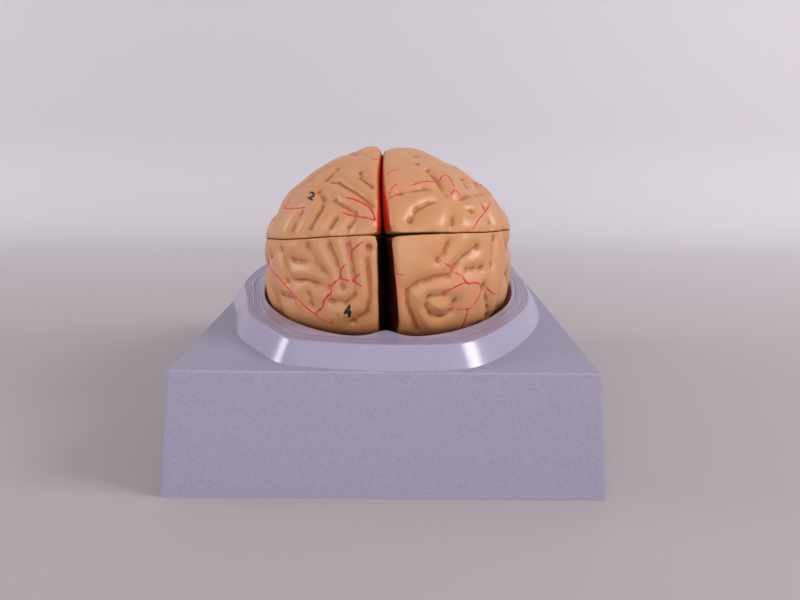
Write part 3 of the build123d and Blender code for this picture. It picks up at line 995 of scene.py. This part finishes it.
# Midline pins: the same rod, coloured near-black as painted shade of the gap between the halves, so
# that they don't glint there.
pin_gap_shade_colour = "1A181A"
pin_gap_shade_worn_colour = "2B282A"
pin_gap_shade_patch_size = 0.002
gap_shaded_steel, tree, shader, place = new_material(
    "gap_shaded_steel", {"Metallic": 1.0, "Roughness": 0.5}
)
patches = add_node(
    tree, "ShaderNodeTexNoise", {"Scale": 1 / pin_gap_shade_patch_size, "Detail": 2.0}, {"Vector": place}
)
pin_gap_shade = add_node(
    tree,
    "ShaderNodeMix",
    {"data_type": "RGBA", 6: srgb(pin_gap_shade_colour), 7: srgb(pin_gap_shade_worn_colour)},
    {0: patches.outputs[0]},
)
tree.links.new(pin_gap_shade.outputs[2], shader.inputs["Base Color"])
dress("midline_pins", gap_shaded_steel)

# Floor and backdrop: a plain pale paper sweep, level under the stand and turned up well behind it,
# where it is coloured lighter: painted light on the upright part.
floor_colour = "AFA6A8"
backdrop_lit_colour = "CBC5CB"
sweep_place = 0.62
sweep_radius = 0.16
sweep_steps = 12
floor_near_edge = -1.6
floor_half_width = 2.5
backdrop_height = 1.6
mesh = bpy.data.meshes.new("floor_sweep")
bend_start = sweep_place - sweep_radius
profile = [(floor_near_edge, 0.0), (bend_start, 0.0)]
for k in range(1, sweep_steps + 1):
    turn = math.radians(90 * k / sweep_steps)
    profile.append((bend_start + sweep_radius * math.sin(turn), sweep_radius * (1 - math.cos(turn))))
profile.append((sweep_place, backdrop_height))
corners = [(x, y, z) for y, z in profile for x in (-floor_half_width, floor_half_width)]
strips = [(2 * k, 2 * k + 1, 2 * k + 3, 2 * k + 2) for k in range(len(profile) - 1)]
mesh.from_pydata(corners, [], strips)
mesh.shade_smooth()
floor = add_piece("floor_sweep", mesh)
paper, tree, shader, place = new_material(
    "matt_backdrop_paper", {"Roughness": 0.7, "Specular IOR Level": 0.3}
)
parts = add_node(tree, "ShaderNodeSeparateXYZ", {}, {0: place})
back_light_share = add_node(
    tree, "ShaderNodeMapRange", {"From Min": 0.1, "From Max": 0.55}, {"Value": parts.outputs["Y"]}
)
paper_tone_and_light = add_node(
    tree,
    "ShaderNodeMix",
    {"data_type": "RGBA", 6: srgb(floor_colour), 7: srgb(backdrop_lit_colour)},
    {0: back_light_share.outputs[0]},
)
tree.links.new(paper_tone_and_light.outputs[2], shader.inputs["Base Color"])
mesh.materials.append(paper)

# Lights: a soft box to each side, placed where the rim's two highlights ask for it, a wide fill in
# front, and a room that is dimmer overhead than at the horizon.
room_colour = "F2F0F6"
room_horizon_strength, room_overhead_strength = 0.72, 0.42
world = bpy.data.worlds.new("studio_room")
bpy.context.scene.world = world
world.use_nodes = True
room = world.node_tree
room.nodes["Background"].inputs["Color"].default_value = srgb(room_colour)
room_way = add_node(room, "ShaderNodeTexCoord").outputs["Generated"]
room_parts = add_node(room, "ShaderNodeSeparateXYZ", {}, {0: room_way})
room_light = add_node(
    room,
    "ShaderNodeMapRange",
    {"To Min": room_horizon_strength, "To Max": room_overhead_strength},
    {"Value": room_parts.outputs["Z"]},
)
room.links.new(room_light.outputs[0], room.nodes["Background"].inputs["Strength"])


def soft_box(name, place, target, size, power):
    light = bpy.data.lights.new(name, "AREA")
    light.shape = "SQUARE"
    light.size = size
    light.energy = power
    lamp = bpy.data.objects.new(name, light)
    bpy.context.scene.collection.objects.link(lamp)
    lamp.location = place
    lamp.rotation_euler = (Vector(target) - Vector(place)).to_track_quat("-Z", "Y").to_euler()


soft_box("right_soft_box", (1.16, -0.31, 0.88), target=(0, 0, 0.05), size=0.5, power=10.6)
soft_box("left_soft_box", (-1.29, 0.07, 0.68), target=(0, 0, 0.05), size=0.4, power=4.3)
soft_box("front_soft_box", (-0.15, -1.6, 0.45), target=(0, 0, 0.08), size=1.5, power=16.0)

# Camera: low and close, looking slightly down at the back of the brain.
camera = bpy.data.cameras.new("camera")
camera.sensor_width = 36.0
camera.lens = camera_focus * camera.sensor_width / (2 * frame_middle[0])
camera_object = bpy.data.objects.new("camera", camera)
bpy.context.scene.collection.objects.link(camera_object)
camera_object.matrix_world = Matrix.Translation(camera_place) @ camera_turn.to_4x4()
bpy.context.scene.camera = camera_object
bpy.context.scene.view_settings.view_transform = "Standard"
